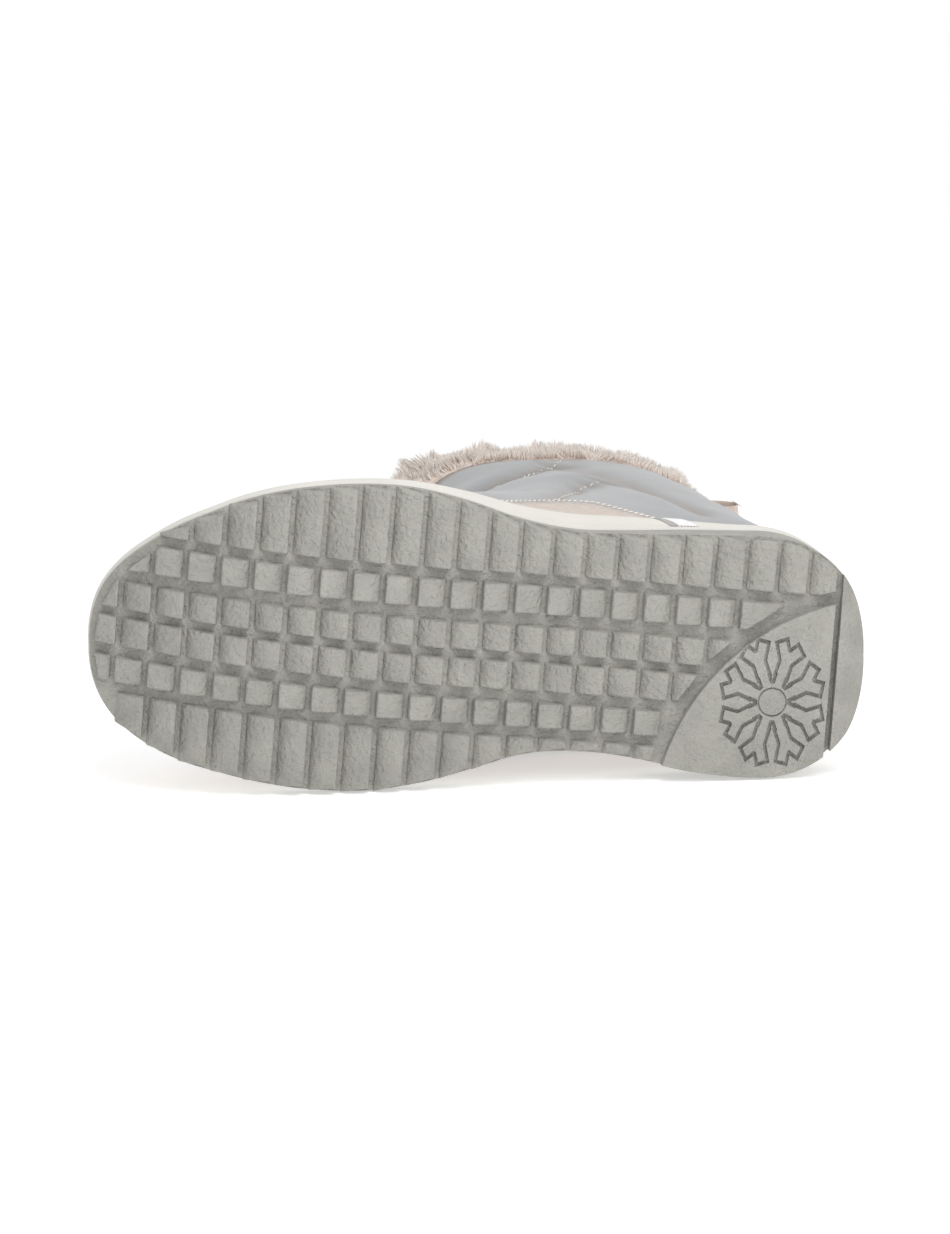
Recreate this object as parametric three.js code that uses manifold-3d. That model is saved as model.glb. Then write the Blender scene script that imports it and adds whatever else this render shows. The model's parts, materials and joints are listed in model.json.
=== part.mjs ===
// Left snow boot lying on its inner side, in millimetres, +Z up.
// The boot is drawn in its own frame: X runs from the heel back to the toe, Y points to the
// outer (lateral) side, Z rises from the ground. The last group lays it down on its side.
import * as THREE from 'three';
import { ConvexHull } from 'three/addons/math/ConvexHull.js';
import { mergeGeometries, mergeVertices } from 'three/addons/utils/BufferGeometryUtils.js';
import Module from 'manifold-3d';

const wasm = await Module();
wasm.setup();

// Driving dimensions.
const soleLength = 271;
const heelRound = { length: 38, power: 2.2 };
const toeRound = { length: 41, power: 2.3 };
const toeSpring = { start: 188, rise: 18 };
const archRise = { centre: 104, reach: 34, height: 1.8 };
const outsoleSide = { heel: 22, forefoot: 9 };
const outsoleFlare = { medial: 0.6, lateral: 1.2 };
const midsoleRim = { heel: 35, forefoot: 25 };
const footbed = { heel: 27, forefoot: 15 };
const waistBulge = { centre: 100, reach: 43, lateral: 5, medial: 3.5 };
const rimLip = 3.6;
const gap = 0.3;
const upperWall = 5;
const collarTop = 216;
const randHeight = { side: 17, heel: 30, toe: 24, arch: 21, archCentre: 95, archReach: 28, thickness: 1.5 };
const insoleThickness = 4.5;
const fur = { bottom: 192, top: 231, outside: 4, lip: 2.5, edge: 5 };
const loop = { out: 9.5, middle: 210, reach: 13, width: 12, thickness: 1.8, lateral: 20, inset: 1.5 };
const fineMesh = { points: 32, perRow: 1.25 };
const coarseMesh = { points: 24, perRow: 1 };
const soleStations = 42;
const wide = 120;
const balance = new THREE.Vector3(115, 0, 75);

// Outline of the sole: half widths each side of the sole's axis, before the ends are rounded.
const soleRows = [
  { x: 0, medial: 45.5, lateral: 36.0 },
  { x: 40, medial: 46.3, lateral: 36.7 },
  { x: 62, medial: 43.8, lateral: 37.5 },
  { x: 85, medial: 38.9, lateral: 37.9 },
  { x: 102, medial: 36.7, lateral: 38.9 },
  { x: 120, medial: 37.3, lateral: 42.9 },
  { x: 140, medial: 42.4, lateral: 50.0 },
  { x: 158, medial: 46.8, lateral: 54.6 },
  { x: 176, medial: 49.0, lateral: 56.0 },
  { x: 198, medial: 48.0, lateral: 54.7 },
  { x: 216, medial: 45.0, lateral: 51.0 },
  { x: 234, medial: 40.6, lateral: 44.2 },
  { x: 252, medial: 37.0, lateral: 38.2 },
  { x: 271, medial: 35.5, lateral: 35.5 },
];

// Sections of the last from toe to collar. Each lies in the plane through its sole or back
// point and its top or front point; half is its half width, mid the share of the way up where
// it is widest, low and high how square it is below and above that.
const lastRows = [
  { backX: 264, backZ: 20, frontX: 264, frontZ: 74, half: 31, mid: 0.42, low: 3.6, high: 2.3 },
  { backX: 246, backZ: 14, frontX: 246, frontZ: 79, half: 36, mid: 0.4, low: 3.6, high: 2.3 },
  { backX: 226, backZ: 8, frontX: 226, frontZ: 84, half: 42, mid: 0.38, low: 3.6, high: 2.2 },
  { backX: 200, backZ: 4, frontX: 203, frontZ: 92, half: 47, mid: 0.36, low: 3.6, high: 2.1 },
  { backX: 172, backZ: 4, frontX: 184, frontZ: 103, half: 48.5, mid: 0.35, low: 3.6, high: 2.1 },
  { backX: 140, backZ: 5, frontX: 169, frontZ: 119, half: 46, mid: 0.36, low: 3.6, high: 2.1 },
  { backX: 104, backZ: 6, frontX: 158, frontZ: 137, half: 43.5, mid: 0.4, low: 3.6, high: 2.2 },
  { backX: 62, backZ: 7, frontX: 152, frontZ: 154, half: 43, mid: 0.42, low: 3.8, high: 2.3 },
  { backX: 22, backZ: 8, frontX: 149.5, frontZ: 167, half: 43, mid: 0.45, low: 3.8, high: 2.5 },
  { backX: 7, backZ: 36, frontX: 148, frontZ: 177, half: 43.2, mid: 0.46, low: 3, high: 2.8 },
  { backX: 6.5, backZ: 66, frontX: 147, frontZ: 186, half: 43.8, mid: 0.47, low: 2.6, high: 3.1 },
  { backX: 10, backZ: 98, frontX: 146.5, frontZ: 194, half: 44.4, mid: 0.48, low: 2.6, high: 3.3 },
  { backX: 14, backZ: 130, frontX: 146, frontZ: 202, half: 44.9, mid: 0.49, low: 2.6, high: 3.4 },
  { backX: 17, backZ: 162, frontX: 145.5, frontZ: 210, half: 45.2, mid: 0.5, low: 2.6, high: 3.5 },
  { backX: 18.5, backZ: 194, frontX: 145.5, frontZ: 219, half: 45.4, mid: 0.5, low: 2.6, high: 3.5 },
  { backX: 19, backZ: 244, frontX: 145.5, frontZ: 244, half: 45.5, mid: 0.5, low: 2.6, high: 3.5 },
];
const lastRound = { rows: 2, rings: 6, power: 2.3, least: 0.16 };
const shaftCentreY = 1;
const limitFree = { above: 21, rate: 0.4, soft: 1.2 };

// Tread: rows of ramped lugs, from the outer side to the inner, on a grid turned to the sole's axis
// and bent at the forefoot.
const tread = { depth: 4, root: 1.2, turn: 0.083, pitch: 11.3, phase: 57.2, lug: 9.1, land: 2, shift: 1.2 };
const treadRows = [
  { v: 15.6, width: 46, ramp: 2.2, toeFacing: false },
  { v: 1.9, width: 10.2, ramp: 1.9, toeFacing: true },
  { v: -12.0, width: 9.8, ramp: 2.1, toeFacing: false },
  { v: -25.2, width: 10.2, ramp: 2.1, toeFacing: false },
  { v: -38.1, width: 9.1, ramp: 1.9, toeFacing: true },
  { v: -81.5, width: 40, ramp: 2.2, toeFacing: false },
];
const treadBend = { start: 140, rate: 0.0003 };
const heelPanel = { x: -6, y: -65.5, radius: 81.5, groove: 4.6, backLateral: 12.2, backMedial: 15.6 };
const heelBevel = { start: 9.6, lean: -0.06, rise: 10 };

const finishes = {
  outsole: { color: 0x9b9b94, roughness: 0.6 },
  midsole: { color: 0xe3e0d6, roughness: 0.55 },
  upper: { color: 0xa9aeb6, roughness: 0.5 },
  suede_rand: { color: 0xd5c1b7, roughness: 0.9 },
  insole: { color: 0xc9b8ae, roughness: 0.95 },
  fur_collar: { color: 0xcdbab0, roughness: 1 },
  pull_loop: { color: 0xc4aa98, roughness: 0.9 },
};

function ease(from, to, value) {
  return THREE.MathUtils.smoothstep(value, from, to);
}

// A column of a table read at a fractional row by a Catmull-Rom curve.
function readRows(rows, column, place) {
  const last = rows.length - 1;
  const row = Math.min(Math.floor(place), last - 1);
  const t = place - row;
  const [a, b, c, d] = [row - 1, row, row + 1, row + 2].map(
    (index) => rows[THREE.MathUtils.clamp(index, 0, last)][column],
  );
  return b + 0.5 * t * (c - a + t * (2 * a - 5 * b + 4 * c - d + t * (3 * (b - c) + d - a)));
}

function rowAt(rows, x) {
  let row = 0;
  while (row < rows.length - 2 && rows[row + 1].x < x) {
    row += 1;
  }
  return row + (x - rows[row].x) / (rows[row + 1].x - rows[row].x);
}

function endRound(distance, round) {
  const share = THREE.MathUtils.clamp(1 - distance / round.length, 0, 1);
  return (1 - share ** round.power) ** (1 / round.power);
}

// Half widths of the sole at x, with heel and toe rounded about the middle of the sole there.
function soleEdge(x) {
  const place = rowAt(soleRows, x);
  const medial = readRows(soleRows, 'medial', place);
  const lateral = readRows(soleRows, 'lateral', place);
  const centre = (lateral - medial) / 2;
  const half = ((lateral + medial) / 2) * endRound(x, heelRound) * endRound(soleLength - x, toeRound);
  return { medial: centre - half, lateral: centre + half, centre, half };
}

function groundZ(x) {
  const spring = Math.max(0, (x - toeSpring.start) / (soleLength - toeSpring.start));
  const arch = Math.exp(-(((x - archRise.centre) / archRise.reach) ** 4));
  return toeSpring.rise * spring ** 2 + archRise.height * arch;
}

function fallsForward(level, x) {
  const share = ease(15, 165, x);
  const raise = Math.max(0, groundZ(x) - archRise.height);
  return level.heel + (level.forefoot - level.heel) * share + raise;
}

function bulgeAt(x, side) {
  return waistBulge[side] * Math.exp(-(((x - waistBulge.centre) / waistBulge.reach) ** 2));
}

const outsoleTopZ = (x) => fallsForward(outsoleSide, x);
const rimZ = (x) => fallsForward(midsoleRim, x);
const footbedZ = (x) => fallsForward(footbed, x);

function randTopZ(x) {
  const heel = (randHeight.heel - randHeight.side) * (1 - ease(20, 75, x));
  const toe = (randHeight.toe - randHeight.side) * ease(170, 240, x);
  const arch = randHeight.arch * Math.exp(-(((x - randHeight.archCentre) / randHeight.archReach) ** 2));
  return rimZ(x) + randHeight.side + heel + toe + arch;
}

// Solids from rings of points, closed by a flat fan at each end.
function loft(rings) {
  const count = rings[0].length;
  const points = rings.flat();
  const index = [];
  for (let ring = 0; ring < rings.length - 1; ring += 1) {
    for (let i = 0; i < count; i += 1) {
      const a = ring * count + i;
      const b = ring * count + ((i + 1) % count);
      index.push(a, b, a + count, b, b + count, a + count);
    }
  }
  const end = (rings.length - 1) * count;
  for (let i = 1; i < count - 1; i += 1) {
    index.push(0, i + 1, i, end, end + i, end + i + 1);
  }
  const geometry = new THREE.BufferGeometry().setFromPoints(points);
  geometry.setIndex(index);
  return toSolid(facingOut(geometry));
}

function facingOut(geometry) {
  const position = geometry.getAttribute('position');
  const corners = [0, 1, 2].map(() => new THREE.Vector3());
  let volume = 0;
  for (let i = 0; i < geometry.index.count; i += 3) {
    corners.forEach((corner, k) => corner.fromBufferAttribute(position, geometry.index.getX(i + k)));
    volume += corners[0].dot(corners[1].clone().cross(corners[2]));
  }
  if (volume < 0) {
    geometry.setIndex([...geometry.index.array].reverse());
  }
  return geometry;
}

function toSolid(geometry) {
  const plain = geometry.clone();
  plain.deleteAttribute('normal');
  plain.deleteAttribute('uv');
  const merged = mergeVertices(plain, 1e-4);
  return new wasm.Manifold(new wasm.Mesh({
    numProp: 3,
    vertProperties: new Float32Array(merged.getAttribute('position').array),
    triVerts: new Uint32Array(merged.index.array),
  }));
}

function toMesh(name, solid) {
  const { vertProperties, triVerts, numProp } = solid.getMesh();
  const points = [];
  for (let i = 0; i < vertProperties.length; i += numProp) {
    points.push(new THREE.Vector3(...vertProperties.subarray(i, i + 3)));
  }
  const geometry = new THREE.BufferGeometry().setFromPoints(points);
  geometry.setIndex([...triVerts]);
  geometry.computeVertexNormals();
  const mesh = new THREE.Mesh(geometry, new THREE.MeshStandardMaterial(finishes[name]));
  mesh.name = name;
  return mesh;
}

// The space between two heights that vary along the boot, right across it.
function between(lowZ, highZ, fromX, toX) {
  const steps = 20;
  const places = Array.from({ length: steps + 1 }, (_, i) => fromX + ((toX - fromX) * i) / steps);
  const outline = new THREE.Shape([
    ...places.map((x) => new THREE.Vector2(x, lowZ(x))),
    ...places.reverse().map((x) => new THREE.Vector2(x, highZ(x))),
  ]);
  const slab = new THREE.ExtrudeGeometry(outline, { depth: 2 * wide, bevelEnabled: false });
  slab.rotateX(Math.PI / 2);
  slab.translate(0, wide, 0);
  return toSolid(slab);
}

// A block with the sole's outline; bulge widens its upper edge.
function soleBlock(lowZ, highZ, wallAt) {
  const rings = [];
  for (let i = 0; i <= soleStations; i += 1) {
    const x = (soleLength / 2) * (1 - 0.9992 * Math.cos((Math.PI * i) / soleStations));
    const edge = soleEdge(x);
    const walls = wallAt(x);
    const side = (name, sign) => walls.map(([share, grow]) => new THREE.Vector3(
      x,
      edge.centre + sign * (edge.half + grow[name] * Math.min(1, edge.half / 20)),
      THREE.MathUtils.lerp(lowZ(x), highZ(x), share),
    ));
    rings.push([...side('medial', -1), ...side('lateral', 1).reverse()]);
  }
  return loft(rings);
}

// The lugs' outer faces lean in a little from the base's upright wall.
function lugWall() {
  return [[0, { medial: 0, lateral: 0 }], [1, outsoleFlare]];
}

function baseWall() {
  return [[0, outsoleFlare], [1, outsoleFlare]];
}

function midsoleWall(x) {
  const bulge = { medial: bulgeAt(x, 'medial'), lateral: bulgeAt(x, 'lateral') };
  const grow = (share, extra) => ({
    medial: outsoleFlare.medial + bulge.medial * share + extra,
    lateral: outsoleFlare.lateral + bulge.lateral * share + extra,
  });
  return [
    [0, grow(0, -0.4)],
    [0.12, grow(0.15, 0.3)],
    [0.55, grow(0.8, 0.5)],
    [0.9, grow(1, 0)],
    [1, grow(0.95, -1)],
  ];
}

// The form of the last with the upper on it, grown (or, below zero, shrunk) by a thickness.
function lastRing(place, grow, points) {
  const row = Object.fromEntries(
    Object.keys(lastRows[0]).map((column) => [column, readRows(lastRows, column, place)]),
  );
  const open = Math.max(1 - place / lastRound.rows, 0);
  const round = Math.max((1 - open ** lastRound.power) ** (1 / lastRound.power), lastRound.least);
  const sill = rimZ(row.frontX) + 6;
  const front = new THREE.Vector2(row.frontX, row.frontZ);
  if (open > 0) {
    front.y = sill + (row.frontZ - sill) * round;
  }
  const back = new THREE.Vector2(row.backX, row.backZ);
  const along = front.clone().sub(back).normalize();
  front.addScaledVector(along, grow);
  back.addScaledVector(along, -grow);
  const toeShift = grow * (1 - ease(0, lastRound.rows, place));
  const ring = [];
  for (let i = 0; i < points; i += 1) {
    const angle = (2 * Math.PI * (i + 0.5)) / points;
    const up = Math.sin(angle);
    const power = 2 / (up < 0 ? row.low : row.high);
    const rise = Math.sign(up) * Math.abs(up) ** power;
    const share = row.mid + rise * (up < 0 ? row.mid : 1 - row.mid);
    const x = THREE.MathUtils.lerp(back.x, front.x, share) + toeShift;
    const z = THREE.MathUtils.lerp(back.y, front.y, share);
    const reach = (row.half + grow) * round * Math.abs(Math.cos(angle)) ** power;
    ring.push(new THREE.Vector3(x, lastSide(x - toeShift, z, Math.sign(Math.cos(angle)), reach, grow), z));
  }
  return ring;
}

// Near the sole the last keeps inside the midsole's rim; higher up it runs free.
function lastSide(x, z, side, reach, grow) {
  const edge = soleEdge(THREE.MathUtils.clamp(x, 1, soleLength - 1));
  const name = side > 0 ? 'lateral' : 'medial';
  const high = Math.max(0, z - rimZ(x) - limitFree.above) * limitFree.rate;
  const limit = Math.max(edge.half + bulgeAt(x, name) - rimLip + grow + high, 1);
  const { soft } = limitFree;
  const kept = -soft * Math.log(Math.exp(-reach / soft) + Math.exp(-limit / soft));
  const share = ease(45, 150, z);
  const centre = THREE.MathUtils.lerp(edge.centre, shaftCentreY, share);
  return centre + side * Math.max(kept, reach * 0.2);
}

function lastForm(grow) {
  const { points, perRow } = grow < 0 || grow >= fur.outside ? coarseMesh : fineMesh;
  const rings = [];
  for (let i = 0; i <= lastRound.rings; i += 1) {
    const place = lastRound.rows * (1 - Math.cos(((i / lastRound.rings) * Math.PI) / 2));
    rings.push(lastRing(place, grow, points));
  }
  const rest = lastRows.length - 1 - lastRound.rows;
  const steps = Math.round(rest * perRow);
  for (let i = 1; i <= steps; i += 1) {
    rings.push(lastRing(lastRound.rows + (rest * i) / steps, grow, points));
  }
  return loft(rings);
}

// One ramped lug, drawn in the tread's grid and then set on the ground line.
function lug(row, cell) {
  const start = tread.phase + cell * tread.pitch;
  const { depth, root, land } = tread;
  const profile = [
    [0, depth + root],
    [0, 0],
    [land, 0],
    [tread.lug, row.ramp],
    [tread.lug, depth + root],
  ];
  const turned = row.toeFacing
    ? profile.map(([u, z]) => new THREE.Vector2(start + tread.shift + tread.lug - u, z))
    : profile.map(([u, z]) => new THREE.Vector2(start + u, z));
  const shape = new THREE.Shape(turned);
  const geometry = new THREE.ExtrudeGeometry(shape, { depth: row.width, bevelEnabled: false });
  geometry.rotateX(Math.PI / 2);
  geometry.translate(0, row.v + row.width, 0);
  const position = geometry.getAttribute('position');
  for (let i = 0; i < position.count; i += 1) {
    const u = position.getX(i);
    const v = position.getY(i);
    const x = u * Math.cos(tread.turn) - v * Math.sin(tread.turn);
    const bend = treadBend.rate * Math.max(0, x - treadBend.start) ** 2;
    const y = u * Math.sin(tread.turn) + v * Math.cos(tread.turn) + bend;
    position.setXYZ(i, x, y, position.getZ(i) + groundZ(THREE.MathUtils.clamp(x, 0, soleLength)));
  }
  return geometry;
}

function heelCylinder(radius) {
  const cylinder = new THREE.CylinderGeometry(radius, radius, 60, 80);
  cylinder.rotateX(Math.PI / 2);
  cylinder.translate(heelPanel.x, heelPanel.y, 0);
  return toSolid(cylinder);
}

// Everything in front of, or behind, a line across the heel.
function acrossHeel(atLateral, atMedial, front) {
  const far = front ? 2 * soleLength : -soleLength;
  const lean = (atMedial - atLateral) / 50;
  const at = (y) => atLateral + (13 - y) * lean;
  const corners = [[at(wide), wide], [at(-wide), -wide], [far, -wide], [far, wide]];
  const outline = new THREE.Shape(corners.map(([x, y]) => new THREE.Vector2(x, y)));
  const block = new THREE.ExtrudeGeometry(outline, { depth: 60, bevelEnabled: false });
  block.translate(0, 0, -20);
  return toSolid(block);
}

function heelWedge() {
  const { start, rise } = heelBevel;
  const outline = new THREE.Shape([
    new THREE.Vector2(start + 1, -1),
    new THREE.Vector2(start, 0),
    new THREE.Vector2(-1, rise * (1 + 1 / start)),
    new THREE.Vector2(-40, rise),
    new THREE.Vector2(-40, -1),
  ]);
  const wedge = new THREE.ExtrudeGeometry(outline, { depth: 2 * wide, bevelEnabled: false });
  wedge.rotateX(Math.PI / 2);
  wedge.translate(0, wide, 0);
  wedge.rotateZ(heelBevel.lean);
  return toSolid(wedge);
}

function makeOutsole() {
  const whole = soleBlock(groundZ, outsoleTopZ, lugWall);
  const base = soleBlock((x) => groundZ(x) + tread.depth, outsoleTopZ, baseWall);
  const cells = Array.from({ length: 26 }, (_, i) => i - 5);
  const lugs = toSolid(mergeGeometries(treadRows.flatMap((row) => cells.map((cell) => lug(row, cell)))));
  const treadArea = whole
    .subtract(heelCylinder(heelPanel.radius + heelPanel.groove))
    .intersect(acrossHeel(heelPanel.backLateral, heelPanel.backMedial, true));
  const panel = whole
    .intersect(heelCylinder(heelPanel.radius))
    .intersect(acrossHeel(heelPanel.backLateral, heelPanel.backMedial, true));
  const crescent = whole.intersect(acrossHeel(heelPanel.backLateral - 2, heelPanel.backMedial - 2, false));
  return base.add(lugs.intersect(treadArea)).add(panel).add(crescent).subtract(heelWedge());
}

function makeMidsole() {
  const block = soleBlock((x) => outsoleTopZ(x) + gap, rimZ, midsoleWall);
  const recess = lastForm(gap).intersect(between(footbedZ, (x) => rimZ(x) + 40, -10, soleLength + 10));
  return block.subtract(recess);
}

function makeUpper() {
  const standing = between((x) => footbedZ(x) + gap, () => collarTop, -10, soleLength + 10);
  return lastForm(0).intersect(standing).subtract(lastForm(-upperWall));
}

function makeRand() {
  const band = between((x) => rimZ(x) + gap, randTopZ, -10, soleLength + 10);
  return lastForm(gap + randHeight.thickness).subtract(lastForm(gap)).intersect(band);
}

function makeInsole() {
  const under = (x) => footbedZ(x) + gap;
  const slab = between(under, (x) => under(x) + insoleThickness, -10, soleLength + 10);
  return lastForm(-upperWall - gap).intersect(slab);
}

// The fur turns over the shaft's edge: outside it, above it, and level with the lining inside.
function makeCollar() {
  const bands = [
    { low: fur.bottom, high: fur.bottom + fur.edge, grow: fur.outside - fur.lip },
    { low: fur.bottom + fur.edge, high: fur.top - fur.edge, grow: fur.outside },
    { low: fur.top - fur.edge, high: fur.top, grow: fur.outside - fur.lip },
  ];
  const pieces = bands.map(({ low, high, grow }) => (
    lastForm(grow).intersect(between(() => low, () => high, -40, soleLength))
  ));
  const body = pieces.reduce((sum, piece) => sum.add(piece));
  const shaftEnd = between(() => fur.bottom - 10, () => collarTop + gap, -40, soleLength);
  return body.subtract(lastForm(-upperWall)).subtract(lastForm(gap).intersect(shaftEnd));
}

// A strap folded double and sewn to the back of the collar.
function makeLoop() {
  const back = lastRows[lastRows.length - 1].backX - fur.outside;
  const path = new THREE.CatmullRomCurve3([
    new THREE.Vector3(back + 1.2, 0, loop.middle - loop.reach),
    new THREE.Vector3(back - 0.7 * loop.out, 0, loop.middle - 0.7 * loop.reach),
    new THREE.Vector3(back - loop.out, 0, loop.middle),
    new THREE.Vector3(back - 0.7 * loop.out, 0, loop.middle + 0.7 * loop.reach),
    new THREE.Vector3(back + 1.2, 0, loop.middle + loop.reach),
  ]);
  const strap = new THREE.Shape([
    new THREE.Vector2(-loop.width / 2, -loop.thickness / 2),
    new THREE.Vector2(loop.width / 2, -loop.thickness / 2),
    new THREE.Vector2(loop.width / 2, loop.thickness / 2),
    new THREE.Vector2(-loop.width / 2, loop.thickness / 2),
  ]);
  const geometry = new THREE.ExtrudeGeometry(strap, { extrudePath: path, steps: 16, bevelEnabled: false });
  geometry.translate(loop.inset, loop.lateral, 0);
  return toSolid(geometry).subtract(lastForm(fur.outside + gap));
}

const boot = new THREE.Group();
boot.add(
  toMesh('outsole', makeOutsole()),
  toMesh('midsole', makeMidsole()),
  toMesh('upper', makeUpper()),
  toMesh('suede_rand', makeRand()),
  toMesh('insole', makeInsole()),
  toMesh('fur_collar', makeCollar()),
  toMesh('pull_loop', makeLoop()),
);

// The boot rests on the face of its own convex hull that lies under its balance point when it
// is on its inner side: the sole's edge at heel and ball, and the collar.
function restingFace(group) {
  const inward = new THREE.Vector3(0, -1, 0);
  const reach = (face) => -face.distanceToPoint(balance) / face.normal.dot(inward);
  const below = new ConvexHull().setFromObject(group).faces.filter((face) => face.normal.dot(inward) > 0.5);
  return below.reduce((best, face) => (reach(face) < reach(best) ? face : best));
}

const up = restingFace(boot).normal.clone().negate();
const rightward = new THREE.Vector3(-1, 0, 0).projectOnPlane(up).normalize();
const away = up.clone().cross(rightward);
const lying = new THREE.Matrix4().makeBasis(rightward, away, up).transpose();
boot.setRotationFromMatrix(lying);

const part = new THREE.Group();
part.add(boot);
part.updateMatrixWorld(true);
const box = new THREE.Box3().setFromObject(boot, true);
boot.position.set(-(box.min.x + box.max.x) / 2, -(box.min.y + box.max.y) / 2, -box.min.z);

export default part;
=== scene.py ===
import json
import math

import bmesh
import bpy
import numpy as np
from mathutils import Matrix, Vector, noise
from mathutils.bvhtree import BVHTree


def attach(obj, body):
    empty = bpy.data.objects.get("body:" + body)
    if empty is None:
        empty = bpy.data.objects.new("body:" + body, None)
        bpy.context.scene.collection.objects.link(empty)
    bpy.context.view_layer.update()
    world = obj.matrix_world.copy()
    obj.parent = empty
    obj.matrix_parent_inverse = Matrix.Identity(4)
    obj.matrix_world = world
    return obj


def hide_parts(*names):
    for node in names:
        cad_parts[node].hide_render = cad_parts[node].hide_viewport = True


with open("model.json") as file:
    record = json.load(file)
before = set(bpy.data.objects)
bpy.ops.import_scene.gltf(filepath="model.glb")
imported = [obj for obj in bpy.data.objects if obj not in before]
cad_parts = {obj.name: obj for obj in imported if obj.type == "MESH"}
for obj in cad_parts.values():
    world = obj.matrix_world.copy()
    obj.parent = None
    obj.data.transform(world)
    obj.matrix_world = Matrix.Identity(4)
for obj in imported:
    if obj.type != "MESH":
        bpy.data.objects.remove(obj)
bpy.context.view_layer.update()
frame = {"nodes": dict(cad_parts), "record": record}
print("frame loaded")

metres = 0.001  # in one millimetre
bootMarks = {"heel_tread": Vector((38, -18, 0)), "forefoot_tread": Vector((171.191, 7.509, 0))}


def ease(low, high, value):
    t = min(max((value - low) / (high - low), 0), 1)
    return t * t * (3 - 2 * t)


def bump(value, centre, reach):
    return math.exp(-(((value - centre) / reach) ** 2))


def layBoot():
    mounts = {m["name"]: m for m in frame["record"]["mounts"]}
    heel, fore = (Vector(mounts[name]["pos_m"]) for name in bootMarks)
    up = -Vector(mounts["heel_tread"]["axis"]).normalized()
    along = (fore - heel).normalized()
    across = up.cross(along)
    reach = bootMarks["forefoot_tread"] - bootMarks["heel_tread"]
    turn = math.atan2(reach.y, reach.x)
    xAxis = along * math.cos(turn) - across * math.sin(turn)
    yAxis = along * math.sin(turn) + across * math.cos(turn)
    turned = Matrix((xAxis, yAxis, up)).transposed().to_4x4()
    fromHeel = Matrix.Translation(-bootMarks["heel_tread"])
    return Matrix.Translation(heel) @ turned @ Matrix.Scale(metres, 4) @ fromHeel


bootMatrix = layBoot()


def asMesh(bm, name):
    mesh = bpy.data.meshes.new(name)
    bm.to_mesh(mesh)
    bm.free()
    return mesh


def dial(node, values):
    for socket, value in values.items():
        node.inputs[socket].default_value = value


def asObject(bm, name):
    thing = bpy.data.objects.new(name, asMesh(bm, name))
    bpy.context.collection.objects.link(thing)
    return thing


# camera, light, floor
view = {"look": Vector((138, 11.5, 0)), "distance": 1100, "down": 8.5, "swing": 5.3, "lens": 93,
        "clip": (0.05, 20)}


def makeCamera():
    down, swing = math.radians(view["down"]), math.radians(view["swing"])
    flat = math.cos(down)
    sight = Vector((-math.sin(swing) * flat, -math.sin(down), math.cos(swing) * flat))
    right = sight.cross(Vector((0, 1, 0))).normalized()
    turned = Matrix((right, right.cross(sight), -sight)).transposed().to_4x4()
    place = Matrix.Translation(view["look"] - sight * view["distance"])
    world = bootMatrix @ place @ turned
    camera = bpy.data.objects.new("camera", bpy.data.cameras.new("camera"))
    camera.matrix_world = Matrix.LocRotScale(world.to_translation(), world.to_quaternion(), None)
    camera.data.lens = view["lens"]
    camera.data.clip_start, camera.data.clip_end = view["clip"]
    bpy.context.collection.objects.link(camera)
    bpy.context.scene.camera = camera


studio = {
    # the backdrop's strength before and behind the boot, and how gently one turns into the other
    "white": (1, 1, 1, 1), "behind": 1.0, "before": 0.36, "blend": 0.4,
    "floor": (0.9, 0.9, 0.9, 1), "floorRough": 0.9, "floorGlow": 0.38, "floorReach": 6,
    "aim": Vector((0, 0, 0.05)),
    "lamps": {
        "above": {"place": (0.08, -0.42, 0.52), "size": 0.42, "power": 2.3},
        "front": {"place": (0.35, -1.0, 0.5), "size": 0.4, "power": 1.2},
    },
}


def makeBackdrop():
    world = bpy.data.worlds.new("studio")
    world.use_nodes = True
    nodes, links = world.node_tree.nodes, world.node_tree.links
    dial(nodes["Background"], {"Color": studio["white"]})
    parts = nodes.new("ShaderNodeSeparateXYZ")
    links.new(nodes.new("ShaderNodeTexCoord").outputs["Generated"], parts.inputs["Vector"])
    depth = nodes.new("ShaderNodeMapRange")
    dial(depth, {"From Min": -studio["blend"], "From Max": studio["blend"]})
    dial(depth, {"To Min": studio["before"], "To Max": studio["behind"]})
    links.new(parts.outputs["Y"], depth.inputs["Value"])
    links.new(depth.outputs["Result"], nodes["Background"].inputs["Strength"])
    bpy.context.scene.world = world
    bpy.context.scene.view_settings.view_transform = "Standard"


def makeLamps():
    for name, lamp in studio["lamps"].items():
        light = bpy.data.lights.new(name, "AREA")
        light.size, light.energy = lamp["size"], lamp["power"]
        holder = bpy.data.objects.new(name, light)
        holder.location = lamp["place"]
        toBoot = studio["aim"] - holder.location
        holder.rotation_euler = toBoot.to_track_quat("-Z", "Y").to_euler()
        bpy.context.collection.objects.link(holder)


def makeFloor():
    bm = bmesh.new()
    bmesh.ops.create_grid(bm, x_segments=1, y_segments=1, size=studio["floorReach"])
    floor = asObject(bm, "floor")
    paint = bpy.data.materials.new("floorPaint")
    paint.use_nodes = True
    dial(paint.node_tree.nodes["Principled BSDF"], {
        "Base Color": studio["floor"], "Roughness": studio["floorRough"],
        "Emission Color": studio["white"], "Emission Strength": studio["floorGlow"],
    })
    floor.data.materials.append(paint)


makeCamera()
makeBackdrop()
makeLamps()
makeFloor()
print("camera and studio set")

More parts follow.
